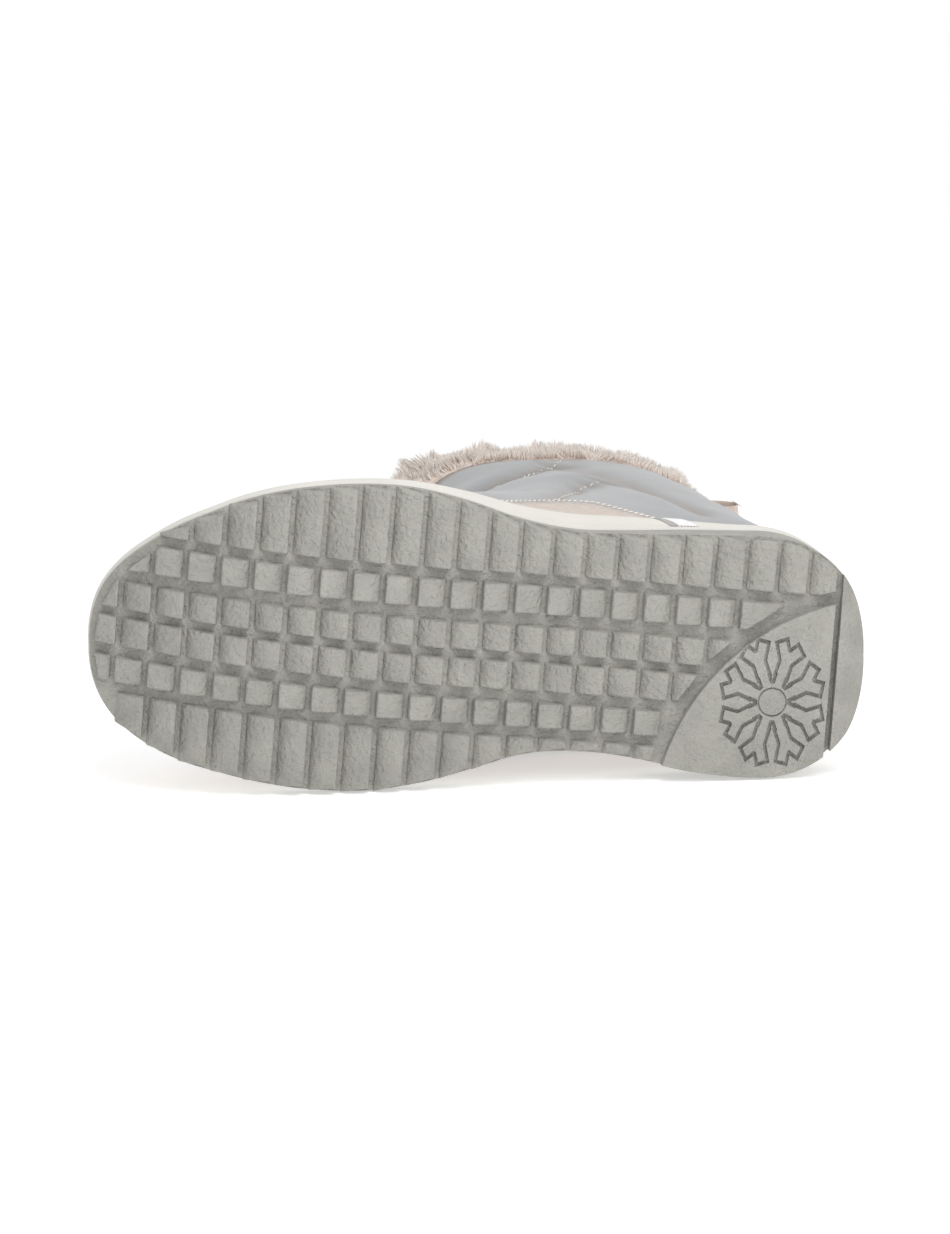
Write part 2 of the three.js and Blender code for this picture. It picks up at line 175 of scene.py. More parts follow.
# finishes
finishes = {
    # mottle: share and scale; grain: scale and depth, coarse and fine
    "rubberGrained": {"color": (0.345, 0.338, 0.306), "rough": 0.62, "mottle": (0.1, 90),
        "grain": ((560, 0.0014), (1500, 0.0004))},
    "rubberPlain": {"color": (0.318, 0.311, 0.28), "rough": 0.46, "mottle": (0.04, 40),
        "grain": ((200, 0.00005), (1500, 0.00003))},
    # groove floors: painted light, a lighter rubber that lifts the shade in the sunk grooves
    "rubberFloor": {"color": (0.43, 0.422, 0.383), "rough": 0.5, "mottle": (0.05, 60),
        "grain": ((260, 0.00008), (1500, 0.00003))},
    "midsoleFoam": {"color": (0.65, 0.63, 0.585), "rough": 0.5, "mottle": (0.04, 50),
        "grain": ((300, 0.00005), (2600, 0.00003))},
    # nylon: the seam attribute mixes in painted shade, darkening the quilting creases and the nylon just
    # under the fur collar
    "nylon": {"color": (0.34, 0.347, 0.355), "rough": 0.42, "mottle": (0.05, 30),
        "grain": ((160, 0.0002), (4200, 0.00005)), "sheen": 0.25,
        "paint": ("seam", (0.23, 0.195, 0.17))},
    "suede": {"color": (0.56, 0.485, 0.43), "rough": 0.92, "mottle": (0.08, 420),
        "grain": ((700, 0.00012), (3800, 0.0001)), "sheen": 0.5},
    "plush": {"color": (0.6, 0.52, 0.46), "rough": 0.96, "mottle": (0.2, 160),
        "grain": ((420, 0.0006), (2200, 0.0003)), "sheen": 0.6},
    # fur strands: painted shade, darker and warmer towards the roots where the fur shades itself
    "furStrand": {"color": (0.93, 0.87, 0.81), "rough": 0.85, "mottle": (0.1, 120),
        "grain": ((900, 0.0001), (3000, 0.00005)), "sheen": 0.5,
        "paint": ("root", (0.84, 0.71, 0.62))},
    "furGround": {"color": (0.72, 0.61, 0.54), "rough": 0.95, "mottle": (0.3, 200),
        "grain": ((500, 0.0008), (2400, 0.0003)), "sheen": 0.4},
    "thread": {"color": (0.8, 0.77, 0.71), "rough": 0.75, "mottle": (0.08, 300),
        "grain": ((1800, 0.00008), (5000, 0.00003))},
    "inlayGrey": {"color": (0.4, 0.39, 0.37), "rough": 0.6, "mottle": (0.08, 120),
        "grain": ((700, 0.00008), (2600, 0.00003))},
    "inlayWhite": {"color": (0.8, 0.8, 0.8), "rough": 0.45, "mottle": (0.04, 120),
        "grain": ((900, 0.00008), (2600, 0.00003))},
    "loopTape": {"color": (0.64, 0.53, 0.46), "rough": 0.9, "mottle": (0.16, 240),
        "grain": ((1400, 0.00015), (4200, 0.00006)), "sheen": 0.4},
}


# shared by all finishes
surface = {"sheenRough": 0.4, "mottleDetail": 5, "mottleSpan": (0.3, 0.7), "shine": 0.06, "grainDetail": 3}


def addNoise(nodes, links, place, scale, detail):
    texture = nodes.new("ShaderNodeTexNoise")
    dial(texture, {"Scale": scale, "Detail": detail})
    links.new(place, texture.inputs["Vector"])
    return texture.outputs["Fac"]


def paintOver(nodes, links, under, attribute, tone):
    spread = nodes.new("ShaderNodeAttribute")
    spread.attribute_name = attribute
    blend = nodes.new("ShaderNodeMix")
    blend.data_type = "RGBA"
    links.new(spread.outputs["Fac"], blend.inputs["Factor"])
    links.new(under, blend.inputs["A"])
    blend.inputs["B"].default_value = (*tone, 1)
    return blend.outputs["Result"]


def makeFinish(name):
    look = finishes[name]
    material = bpy.data.materials.new(name)
    material.use_nodes = True
    nodes, links = material.node_tree.nodes, material.node_tree.links
    shader = nodes["Principled BSDF"]
    dial(shader, {"Sheen Weight": look.get("sheen", 0), "Sheen Roughness": surface["sheenRough"]})
    place = nodes.new("ShaderNodeTexCoord").outputs["Object"]
    share, scale = look["mottle"]
    mottle = addNoise(nodes, links, place, scale, surface["mottleDetail"])
    ramp = nodes.new("ShaderNodeValToRGB")
    for stop, at, sign in zip(ramp.color_ramp.elements, surface["mottleSpan"], (-1, 1)):
        stop.color = (*(c * (1 + sign * share) for c in look["color"]), 1)
        stop.position = at
    links.new(mottle, ramp.inputs["Fac"])
    coloured = ramp.outputs["Color"]
    # a painted shade, where the finish has one, is mixed over the colour
    if "paint" in look:
        coloured = paintOver(nodes, links, coloured, *look["paint"])
    links.new(coloured, shader.inputs["Base Color"])
    shine = nodes.new("ShaderNodeMapRange")
    spread = surface["shine"]
    dial(shine, {"To Min": look["rough"] - spread, "To Max": min(look["rough"] + spread, 1)})
    links.new(mottle, shine.inputs["Value"])
    links.new(shine.outputs["Result"], shader.inputs["Roughness"])
    normal = None
    for scale, depth in look["grain"]:
        grain = addNoise(nodes, links, place, scale, surface["grainDetail"])
        relief = nodes.new("ShaderNodeBump")
        dial(relief, {"Distance": depth})
        links.new(grain, relief.inputs["Height"])
        if normal:
            links.new(normal, relief.inputs["Normal"])
        normal = relief.outputs["Normal"]
    links.new(normal, shader.inputs["Normal"])
    return material


finish = {name: makeFinish(name) for name in finishes}
print("finishes made")

# shared shaping
near = {"seam": 1e-5, "cut": 1e-4, "weld": 1e-3}  # distances taken as none


def latticeSkin(rings, wrap=True):
    bm = bmesh.new()
    across = len(rings[0]) if wrap else len(rings[0]) - 1
    verts = bmesh.ops.create_grid(bm, x_segments=across, y_segments=len(rings) - 1, size=1)["verts"]
    for k, vert in enumerate(verts):
        row, column = divmod(k, across + 1)
        vert.co = rings[row][column % len(rings[0])]
    if wrap:
        bmesh.ops.remove_doubles(bm, verts=bm.verts, dist=near["seam"])
    return bm


def flatten(vector):
    return Vector((vector.x, vector.y, 0))


def faceOut(bm):
    bmesh.ops.recalc_face_normals(bm, faces=bm.faces)


def shift(bm, way):
    bmesh.ops.translate(bm, verts=bm.verts, vec=way)


def newVerts(made):
    return [item for item in made["geom"] if isinstance(item, bmesh.types.BMVert)]


def closeEnds(bm):
    bmesh.ops.holes_fill(bm, edges=[edge for edge in bm.edges if edge.is_boundary])
    faceOut(bm)
    return bm


def placePiece(mesh, name, materials, replaced=None, sharp=40):
    mesh.transform(bootMatrix)
    for material in materials:
        mesh.materials.append(finish[material])
    mesh.shade_smooth()
    mesh.set_sharp_from_angle(angle=math.radians(sharp))
    piece = bpy.data.objects.new(name, mesh)
    bpy.context.collection.objects.link(piece)
    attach(piece, "root")
    if replaced:
        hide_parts(replaced)
    return piece


def cutWith(body, tool, operation="DIFFERENCE"):
    cut = body.modifiers.new("cut", "BOOLEAN")
    cut.operation = operation
    cut.solver = "EXACT"
    cut.use_self = True
    cut.object = tool
    mesh = bpy.data.meshes.new_from_object(body.evaluated_get(bpy.context.evaluated_depsgraph_get()))
    body.modifiers.clear()
    body.data = mesh
    bpy.data.objects.remove(tool)


# sole outline
sole = {
    "length": 271, "heelRound": (38, 2.2), "toeRound": (41, 2.3),
    "spring": (188, 18), "arch": (104, 34, 1.8), "outsoleSide": (22, 9), "rim": (35, 25),
    "footbed": (27, 15), "flare": {"medial": 0.6, "lateral": 1.2},
    "bulge": {"centre": 100, "reach": 43, "medial": 3.5, "lateral": 3.9},
    # where heel heights turn into forefoot heights, and the half width at which the flare fades
    "levelRun": (15, 165), "tipFade": 20,
    # how many stations, and the share of the length that they span
    "stations": {"outline": (210, 0.99985), "block": (110, 0.9994)},
    # x, half widths to the inner and the outer side
    "rows": (
        (0, 45.5, 36.0), (40, 46.3, 36.7), (62, 43.8, 37.5), (85, 38.9, 37.9), (102, 36.7, 38.9),
        (120, 37.3, 42.9), (140, 42.4, 50.0), (158, 46.8, 54.6), (176, 49.0, 56.0), (198, 48.0, 54.7),
        (216, 45.0, 51.0), (234, 40.6, 44.2), (252, 37.0, 38.2), (271, 35.5, 35.5),
    ),
}


def onSole(x):
    return min(max(x, 0), sole["length"])


def stationX(k, kind):
    count, span = sole["stations"][kind]
    return sole["length"] / 2 * (1 - span * math.cos(math.pi * k / count))


def readRows(rows, column, place):
    row = min(int(place), len(rows) - 2)
    t = place - row
    a, b, c, d = (rows[min(max(k, 0), len(rows) - 1)][column] for k in range(row - 1, row + 3))
    return b + 0.5 * t * (c - a + t * (2 * a - 5 * b + 4 * c - d + t * (3 * (b - c) + d - a)))


def soleEdge(x):
    rows = sole["rows"]
    row = 0
    while row < len(rows) - 2 and rows[row + 1][0] < x:
        row += 1
    place = row + (x - rows[row][0]) / (rows[row + 1][0] - rows[row][0])
    medial, lateral = readRows(rows, 1, place), readRows(rows, 2, place)
    half = (medial + lateral) / 2
    for distance, (length, power) in ((x, sole["heelRound"]), (sole["length"] - x, sole["toeRound"])):
        share = min(max(1 - distance / length, 0), 1)
        half *= (1 - share**power) ** (1 / power)
    return (lateral - medial) / 2, half


def groundZ(x):
    start, rise = sole["spring"]
    centre, reach, height = sole["arch"]
    spring = max(0, (x - start) / (sole["length"] - start))
    return rise * spring**2 + height * math.exp(-(((x - centre) / reach) ** 4))


def level(name, x):
    heel, forefoot = sole[name]
    return heel + (forefoot - heel) * ease(*sole["levelRun"], x) + max(0, groundZ(x) - sole["arch"][2])


def bulgeAt(x, side):
    return sole["bulge"][side] * bump(x, sole["bulge"]["centre"], sole["bulge"]["reach"])


def traceOutline():
    loop = []
    for k in range(sole["stations"]["outline"][0] + 1):
        x = stationX(k, "outline")
        loop.append((x, *soleEdge(x)))
    points = [(x, centre + half) for x, centre, half in loop]
    points += [(x, centre - half) for x, centre, half in reversed(loop)]
    points = np.array(points)
    tangent = np.roll(points, -1, 0) - np.roll(points, 1, 0)
    normal = np.stack([-tangent[:, 1], tangent[:, 0]], 1)
    return points, normal / np.hypot(*normal.T)[:, None]


outlinePoints, outlineNormals = traceOutline()


def ringAround(heightAt, growAt):
    ring = []
    for (x, y), (nx, ny) in zip(outlinePoints, outlineNormals):
        side = "lateral" if ny > 0 else "medial"
        grow = growAt(x, side, abs(ny))
        ring.append(Vector((x + nx * grow, y + ny * grow, heightAt(onSole(x)))))
    return ring


def boxRing(x, left, right, low, high):
    return [Vector((x, y, z)) for y, z in ((left, low), (left, high), (right, high), (right, low))]


def soleBlock(lowAt, highAt, grow):
    rings = []
    for k in range(sole["stations"]["block"][0] + 1):
        x = stationX(k, "block")
        centre, half = soleEdge(x)
        fade = min(1, half / sole["tipFade"])
        right, left = centre + half + grow["lateral"] * fade, centre - half - grow["medial"] * fade
        rings.append(boxRing(x, left, right, lowAt(x), highAt(x)))
    return closeEnds(latticeSkin(rings))


# outsole
tread = {
    "depth": 4, "root": 1.2, "turn": 0.083, "bend": (140, 0.0003), "pitch": 11.3, "phase": 57.2, "lug": 10.1,
    "shift": 1.2, "lastCell": 20, "draft": 0.8, "edge": 0.6, "crease": 0.3, "least": 30,
    # free band at the toe and the run where it grows, angle and inset of the stepped outer ends
    "toeBand": 2.2, "toeRun": (200, 250), "sawTooth": 7, "sawInset": 0.35, "stub": 1.5, "step": 0.25,
    "lean": 0.8, "roundTo": 50, "roundReach": 4,
    # the tool that sinks the grooves, and which faces are their floors
    "tool": {"wide": 90, "low": -30, "start": -30, "step": 4, "count": 81}, "floorAt": 3.4, "floorInset": 2,
    # along a lug from its crest: share of its length, share of its ramp's fall
    "ramp": ((0, 0), (0.2, 0.05), (0.45, 0.25), (0.7, 0.65), (0.88, 1.2), (1.0, 1.75)),
    # what a row has unless it says otherwise; rows facing the toe are smooth
    "row": {"ramp": 2.0, "first": -4, "side": 0, "toeFacing": False, "extra": 0},
    "rows": (
        {"v": 15.2, "width": 46, "side": 1},
        {"v": 1.5, "width": 11.0, "ramp": 1.7, "toeFacing": True, "first": -2, "extra": 6},
        {"v": -12.4, "width": 10.6},
        {"v": -25.6, "width": 11.0},
        {"v": -38.5, "width": 9.9, "ramp": 1.7, "toeFacing": True},
        {"v": -81.5, "width": 40.4, "side": -1},
    ),
}
heel = {
    "centre": Vector((-6, -65.5, 0)), "radius": 81.5, "groove": 4.6, "segments": 200,
    "tall": 60, "block": 400,
    # the back line's x on the two sides, its level y and the width between the sides
    "backLateral": 12.2, "backMedial": 15.6, "backY": 13, "backSpan": 50, "slit": 3.2,
    # the crescent's bevel: start, run past the heel, first height, rise, its curve and lean
    "bevelStart": 9.6, "bevelLap": 1.5, "bevelPast": 9, "bevelFrom": -0.6, "bevelRise": 16,
    "bevelCurve": 1.45, "bevelLean": 0.06, "bevelWide": 120, "bevelUnder": -20,
}
flake = {
    "centre": Vector((33.7, -20, 0)), "stretch": (0.92, 1.13), "arms": 8, "reach": 19.5, "tip": 0.86,
    "bar": 3.6, "moat": 1.3, "low": -3, "deep": 1.5, "clear": 6, "hub": 5.8, "hubOver": 0.2,
    # start of each stem, share of the bar's width, lift
    "stems": ((2, 0.8, 0), (9, 1, 0.005)),
    "fork": (13.5, 6.2, 3.0), "spread": 36,
    # no two tops lie in one plane
    "armLift": 0.01, "forkLift": 0.003,
    "ring": (5.2, 0.6), "ringTall": 1.7, "ringDeep": 0.7,
}


def onTread(u, v, z):
    turn = tread["turn"]
    x = u * math.cos(turn) - v * math.sin(turn)
    start, rate = tread["bend"]
    y = u * math.sin(turn) + v * math.cos(turn) + rate * max(0, x - start) ** 2
    return Vector((x, y, z + groundZ(onSole(x))))


def nearestEdge(point):
    gaps = np.hypot(outlinePoints[:, 0] - point.x, outlinePoints[:, 1] - point.y)
    k = int(gaps.argmin())
    return Vector((*outlinePoints[k], 0)), Vector((*outlineNormals[k], 0))


def outside(point):
    edge, normal = nearestEdge(point)
    return (flatten(point) - edge).dot(normal)


def trim(bm, place, normal):
    geom = bm.verts[:] + bm.edges[:] + bm.faces[:]
    bmesh.ops.bisect_plane(bm, geom=geom, plane_co=place, plane_no=normal, clear_outer=True, dist=near["cut"])
    edges = [edge for edge in bm.edges if edge.is_boundary]
    if edges:
        bmesh.ops.holes_fill(bm, edges=edges)


def shapeLug(row, cell):
    bm = bmesh.new()
    bmesh.ops.create_cube(bm, size=1)
    shares, falls = zip(*tread["ramp"])
    for share in shares[1:-1]:
        geom = bm.verts[:] + bm.edges[:] + bm.faces[:]
        bmesh.ops.bisect_plane(bm, geom=geom, plane_co=(share - 0.5, 0, 0), plane_no=(1, 0, 0),
                               dist=near["cut"])
    start = tread["phase"] + cell * tread["pitch"]
    for vert in bm.verts:
        along, over, high = (value + 0.5 for value in vert.co)
        draft = tread["draft"] * (1 - high)
        u = along * (tread["lug"] + (row["extra"] if cell == row["first"] else 0))
        z = float(np.interp(along, shares, falls)) * row["ramp"]
        u += draft * (1 - 2 * along) * 0.5
        v = row["v"] + over * row["width"] + draft * (1 - 2 * over)
        if high > 0.5:
            z = tread["depth"] + tread["root"]
        u = start + tread["shift"] + tread["lug"] - u if row["toeFacing"] else start + u
        vert.co = onTread(u, v, z)
    faceOut(bm)
    return bm, start + tread["lug"] / 2


def trimAtWall(bm, row, middle):
    v = row["v"] if row["side"] > 0 else row["v"] + row["width"]
    if outside(onTread(middle, v + row["side"] * tread["stub"], 0)) > 0:
        bm.clear()
        return
    while outside(onTread(middle, v, 0)) < 0:
        v += row["side"] * tread["step"]
    edge, normal = nearestEdge(onTread(middle, v, 0))
    saw = Matrix.Rotation(math.radians(tread["sawTooth"] * row["side"]), 3, "Z")
    side = "lateral" if row["side"] > 0 else "medial"
    lean = sole["flare"][side] / (tread["depth"] + tread["lean"])
    normal = saw @ normal
    edge -= normal * tread["sawInset"]
    edge.z = groundZ(onSole(edge.x))
    trim(bm, edge, Vector((normal.x, normal.y, -lean)))
    if middle < tread["roundTo"]:
        for reach in (-tread["roundReach"], tread["roundReach"]):
            edge, normal = nearestEdge(onTread(middle + reach, v, 0))
            trim(bm, edge, flatten(normal))


def trimAtToe(bm, row, middle):
    centre = onTread(middle, row["v"] + row["width"] / 2, 0)
    edge, normal = nearestEdge(centre)
    trim(bm, edge - normal * tread["toeBand"] * ease(*tread["toeRun"], centre.x), normal)


def backLean():
    return (heel["backMedial"] - heel["backLateral"]) / heel["backSpan"]


def trimAtHeel(bm):
    centre = sum((vert.co for vert in bm.verts), Vector()) / len(bm.verts)
    spoke = flatten(centre) - heel["centre"]
    spoke.normalize()
    trim(bm, heel["centre"] + spoke * (heel["radius"] + heel["groove"]), -spoke)
    if bm.verts:
        trim(bm, Vector((heel["backLateral"], heel["backY"], 0)), Vector((-1, -backLean(), 0)))


def trimLug(bm, row, middle):
    if row["side"]:
        trimAtWall(bm, row, middle)
    else:
        trimAtToe(bm, row, middle)
    if bm.verts:
        trimAtHeel(bm)


def makeLugs():
    together = bmesh.new()
    for given in tread["rows"]:
        row = tread["row"] | given
        for cell in range(row["first"], tread["lastCell"] + 1):
            bm, middle = shapeLug(row, cell)
            trimLug(bm, row, middle)
            if not bm.faces or bm.calc_volume() < tread["least"]:
                bm.free()
                continue
            corner = [edge for edge in bm.edges if edge.calc_face_angle(0) > tread["crease"]]
            bmesh.ops.bevel(bm, geom=corner, affect="EDGES", offset=tread["edge"], segments=3, profile=0.5,
                            material=-1, clamp_overlap=True)
            for face in bm.faces:
                face.material_index = int(row["toeFacing"])
            mesh = asMesh(bm, "lug")
            together.from_mesh(mesh)
            bpy.data.meshes.remove(mesh)
    return together


def grooveTool():
    tool, rings = tread["tool"], []
    for k in range(tool["count"]):
        x = tool["start"] + k * tool["step"]
        high = groundZ(onSole(x)) + tread["depth"]
        rings.append(boxRing(x, -tool["wide"], tool["wide"], tool["low"], high))
    return closeEnds(latticeSkin(rings))


def panelTool():
    bm = bmesh.new()
    bmesh.ops.create_cone(bm, cap_ends=True, segments=heel["segments"], radius1=heel["radius"],
                          radius2=heel["radius"], depth=heel["tall"])
    shift(bm, heel["centre"])
    return bm


def acrossHeel(offset, front):
    bm = bmesh.new()
    bmesh.ops.create_cube(bm, size=heel["block"])
    lean = backLean()
    push = heel["block"] / (2 if front else -2)
    bmesh.ops.rotate(bm, verts=bm.verts, matrix=Matrix.Rotation(math.atan(lean), 3, "Z"))
    place = Vector((heel["backLateral"] + offset + heel["backY"] * lean + push, 0, 0))
    shift(bm, place)
    return bm


def heelBevelTool():
    bm = bmesh.new()
    start, rise = heel["bevelStart"], heel["bevelRise"]
    bmesh.ops.create_grid(bm, x_segments=12, y_segments=1, size=1)
    for vert in bm.verts:
        share = (vert.co.x + 1) / 2
        x = start + heel["bevelLap"] - share * (start + heel["bevelPast"])
        z = heel["bevelFrom"] + rise * share ** heel["bevelCurve"]
        vert.co = Vector((x, vert.co.y * heel["bevelWide"], z))
    for vert in newVerts(bmesh.ops.extrude_face_region(bm, geom=bm.faces[:])):
        vert.co.z = heel["bevelUnder"]
    bmesh.ops.rotate(bm, verts=bm.verts, matrix=Matrix.Rotation(-heel["bevelLean"], 3, "Z"))
    faceOut(bm)
    return bm


def bar(bm, start, end, width, grow, low, high):
    axis = end - start
    centre = (start + end) / 2
    size = Matrix.Diagonal((axis.length + 2 * grow, width + 2 * grow, high - low, 1))
    turn = Matrix.Rotation(math.atan2(axis.y, axis.x), 4, "Z")
    place = Matrix.Translation(Vector((centre.x, centre.y, (low + high) / 2)))
    bmesh.ops.create_cube(bm, size=1, matrix=place @ turn @ size)


def flakeTool(grow, low, high):
    bm = bmesh.new()
    place, length, width = flake["fork"]
    for arm in range(flake["arms"]):
        angle = 2 * math.pi * (arm + 0.5) / flake["arms"]
        out = Vector((math.cos(angle), math.sin(angle), 0))
        tip = out * flake["reach"] * flake["tip"]
        height = high + flake["armLift"] * arm
        for start, share, lift in flake["stems"]:
            bar(bm, out * start, tip, flake["bar"] * share, grow, low, height + lift)
        for side in (-1, 1):
            turned = Matrix.Rotation(math.radians(side * flake["spread"]), 3, "Z") @ out
            top = height + flake["forkLift"] * side
            bar(bm, out * place, out * place + turned * length, width, grow, low, top)
    hub = Matrix.Translation(Vector((0, 0, (low + high) / 2)))
    radius = flake["hub"] + grow
    bmesh.ops.create_cone(bm, cap_ends=True, segments=40, radius1=radius, radius2=radius,
                          depth=high - low + flake["hubOver"], matrix=hub)
    across, up = flake["stretch"]
    bmesh.ops.scale(bm, verts=bm.verts, vec=(across, up, 1))
    shift(bm, flake["centre"])
    return bm


def hubRing():
    bm = bmesh.new()
    radius, width = flake["ring"]
    bmesh.ops.create_circle(bm, segments=48, radius=radius)
    shift(bm, (0, 0, -1))
    ring = newVerts(bmesh.ops.extrude_edge_only(bm, edges=bm.edges[:]))
    share = (radius - width) / radius
    bmesh.ops.scale(bm, verts=ring, vec=(share, share, 1))
    bmesh.ops.solidify(bm, geom=bm.faces[:], thickness=flake["ringTall"])
    top = max(vert.co.z for vert in bm.verts)
    place = flake["centre"] + Vector((0, 0, flake["ringDeep"] - top))
    shift(bm, place)
    faceOut(bm)
    return bm


def makeOutsole():
    body = asObject(soleBlock(groundZ, lambda x: level("outsoleSide", x), sole["flare"]), "body")
    tool = asObject(grooveTool(), "tool")
    panel = asObject(panelTool(), "panel")
    cutWith(panel, asObject(acrossHeel(0, True), "front"), "INTERSECT")
    cutWith(tool, panel)
    cutWith(tool, asObject(acrossHeel(-heel["slit"], False), "back"))
    cutWith(body, tool)
    cutWith(body, asObject(heelBevelTool(), "bevel"))
    moat = asObject(flakeTool(flake["moat"], flake["low"], flake["deep"]), "moat")
    cutWith(moat, asObject(flakeTool(0, -flake["clear"], flake["clear"]), "arms"))
    cutWith(body, moat)
    cutWith(body, asObject(hubRing(), "hubRing"))
    bm = bmesh.new()
    bm.from_mesh(body.data)
    bmesh.ops.remove_doubles(bm, verts=bm.verts, dist=near["weld"])
    bmesh.ops.dissolve_degenerate(bm, edges=bm.edges, dist=near["weld"])
    # sunk faces inside the edge take the lighter groove floor rubber, painted light in the grooves
    for face in bm.faces:
        middle = face.calc_center_median()
        sunk = middle.z > groundZ(onSole(middle.x)) + tread["floorAt"]
        face.material_index = 2 if sunk and outside(middle) < -tread["floorInset"] else 1
    bm.from_mesh(asMesh(makeLugs(), "lugs"))
    bpy.data.objects.remove(body)
    mesh = asMesh(bm, "tread")
    mesh.materials.clear()
    rubbers = ["rubberGrained", "rubberPlain", "rubberFloor"]
    placePiece(mesh, "tread", rubbers, "outsole", 32)


makeOutsole()
print("outsole made")

# midsole
midsole = {
    # over the outsole: gap, the inner ring's height and its distance out, the foot's distance out
    "gap": 0.3, "inner": (2.5, -9), "foot": -5,
    # share of the wall's height, how far out of the sole's edge, share of the waist's bulge
    "wall": ((0.0, -0.6, 0.0), (0.02, 0.15, 0.02), (0.06, 0.55, 0.07), (0.11, 0.55, 0.13), (0.15, 0.3, 0.2),
            (0.18, 0.15, 0.24), (0.3, 0.4, 0.45), (0.45, 0.5, 0.68), (0.6, 0.5, 0.85), (0.72, 0.35, 0.95),
            (0.8, 0.2, 0.98), (0.815, -0.9, 0.99), (0.85, -0.9, 0.99), (0.865, 0.15, 1.0), (0.93, 0.0, 1.0),
            (0.98, -0.4, 0.98), (1.0, -1.1, 0.95)),
    "lip": ((0.35, -2.2), (0.1, -3.3), (-3.0, -5.2)), "lipSwell": 0.95, "bed": (-0.5, -5.6),
    "inlay": {"grey": (66.6, 69.3), "white": (59.3, 66.2), "low": 0.2, "high": 0.79, "slant": -5.2,
            "proud": 0.25, "thick": 0.9, "ribs": 6, "ribHigh": 0.22},
}


def midsoleWall(x, side, across, share, out, swell):
    low = level("outsoleSide", x) + midsole["gap"]
    height = low + (level("rim", x) - low) * share
    return height, sole["flare"][side] * across + bulgeAt(x, side) * swell + out


def closeLadder(bm, ring):
    half = len(ring) // 2
    chains = [ring[1:half - 1], ring[half + 1:-1]]
    edges = [bm.edges.get((a, b)) for chain in chains for a, b in zip(chain, chain[1:])]
    bmesh.ops.bridge_loops(bm, edges=[edge for edge in edges if edge])


def makeMidsole():
    rings = []
    for rise, out in (midsole["inner"], (midsole["gap"], midsole["foot"])):
        rings.append(ringAround(lambda x: level("outsoleSide", x) + rise, lambda x, side, across: out))
    for share, out, swell in midsole["wall"]:
        rings.append(ringAround(
            lambda x: midsoleWall(x, "medial", 1, share, out, swell)[0],
            lambda x, side, across: midsoleWall(x, side, across, share, out, swell)[1],
        ))
    for rise, out in midsole["lip"]:
        rings.append(ringAround(
            lambda x: level("rim", x) + rise,
            lambda x, side, across: bulgeAt(x, side) * midsole["lipSwell"] + out,
        ))
    rise, out = midsole["bed"]
    rings.append(ringAround(lambda x: level("footbed", x) + rise, lambda x, side, across: out))
    bm = latticeSkin(rings)
    bm.verts.ensure_lookup_table()
    bm.verts.index_update()
    find = {tuple(round(c, 3) for c in vert.co): vert for vert in bm.verts}
    for ring in (rings[0], rings[-1]):
        closeLadder(bm, [find[tuple(round(c, 3) for c in point)] for point in ring])
    closeEnds(bm)
    foam = asMesh(bm, "midsole_foam")
    placePiece(foam, "midsole_foam", ["midsoleFoam"], "midsole", 50)


def wallPoint(x, share, proud):
    wall = midsole["wall"]
    shares = [row[0] for row in wall]
    out, swell = (np.interp(share, shares, [row[k] for row in wall]) for k in (1, 2))
    centre, half = soleEdge(x)
    z, grow = midsoleWall(x, "lateral", 1, share, out, swell)
    return Vector((x, centre + half + grow + proud, z))


def makeInlay(name, fromX, toX, material, ribbed):
    inlay = midsole["inlay"]
    bm = bmesh.new()
    bmesh.ops.create_grid(bm, x_segments=40, y_segments=8, size=1)
    for vert in bm.verts:
        along, share = (vert.co.x + 1) / 2, (vert.co.y + 1) / 2
        x = fromX + (toX - fromX) * along + inlay["slant"] * (0.5 - share)
        rib = ribbed * inlay["ribHigh"] * math.sin(along * 2 * math.pi * inlay["ribs"])
        proud = inlay["proud"] + rib
        vert.co = wallPoint(x, inlay["low"] + (inlay["high"] - inlay["low"]) * share, proud)
    bmesh.ops.solidify(bm, geom=bm.faces[:], thickness=-inlay["thick"])
    faceOut(bm)
    placePiece(asMesh(bm, name), name, [material])


makeMidsole()
makeInlay("inlay_stripe", *midsole["inlay"]["grey"], "inlayGrey", 0)
makeInlay("inlay_patch", *midsole["inlay"]["white"], "inlayWhite", 1)
print("midsole made")

# upper
last = {
    "points": 132, "toeRings": 18, "perRow": 9, "top": 216, "wall": 5, "toeRows": 2, "power": 2.3,
    "least": 0.16, "sill": 6, "shaftY": 1, "shaftRun": (45, 150), "lip": 3.6, "free": (21, 0.4, 1.2),
    "narrowest": 0.2, "smooth": 0.4,
    # over the footbed: the skin's floor and what is cut away, to which x; where the toe starts
    "overBed": 0.3, "bedCut": 0.35, "bedEnd": 262, "toeFrom": 200, "core": Vector((90, 0, 90)),
    # backX, backZ, frontX, frontZ, half width, widest place, squareness below and above it
    "rows": (
        (264, 20, 264, 74, 31, 0.42, 3.6, 2.3), (246, 14, 246, 79, 36, 0.40, 3.6, 2.3),
        (226, 8, 226, 84, 42, 0.38, 3.6, 2.2), (200, 4, 203, 92, 47, 0.36, 3.6, 2.1),
        (172, 4, 184, 103, 48.5, 0.35, 3.6, 2.1), (140, 5, 169, 119, 46, 0.36, 3.6, 2.1),
        (104, 6, 158, 137, 43.5, 0.40, 3.6, 2.2), (62, 7, 152, 154, 43, 0.42, 3.8, 2.3),
        (22, 8, 149.5, 167, 43, 0.45, 3.8, 2.5), (7, 36, 148, 177, 43.2, 0.46, 3.0, 2.8),
        (6.5, 66, 147, 186, 43.8, 0.47, 2.45, 3.1), (10, 98, 146.5, 194, 44.4, 0.48, 2.3, 3.3),
        (14, 130, 148, 202, 44.9, 0.49, 2.2, 3.5), (17, 162, 149.5, 210, 45.2, 0.50, 2.2, 3.8),
        (18.5, 194, 150.5, 219, 45.4, 0.50, 2.2, 4.0), (19, 244, 150.5, 244, 45.5, 0.50, 2.2, 4.0),
    ),
}
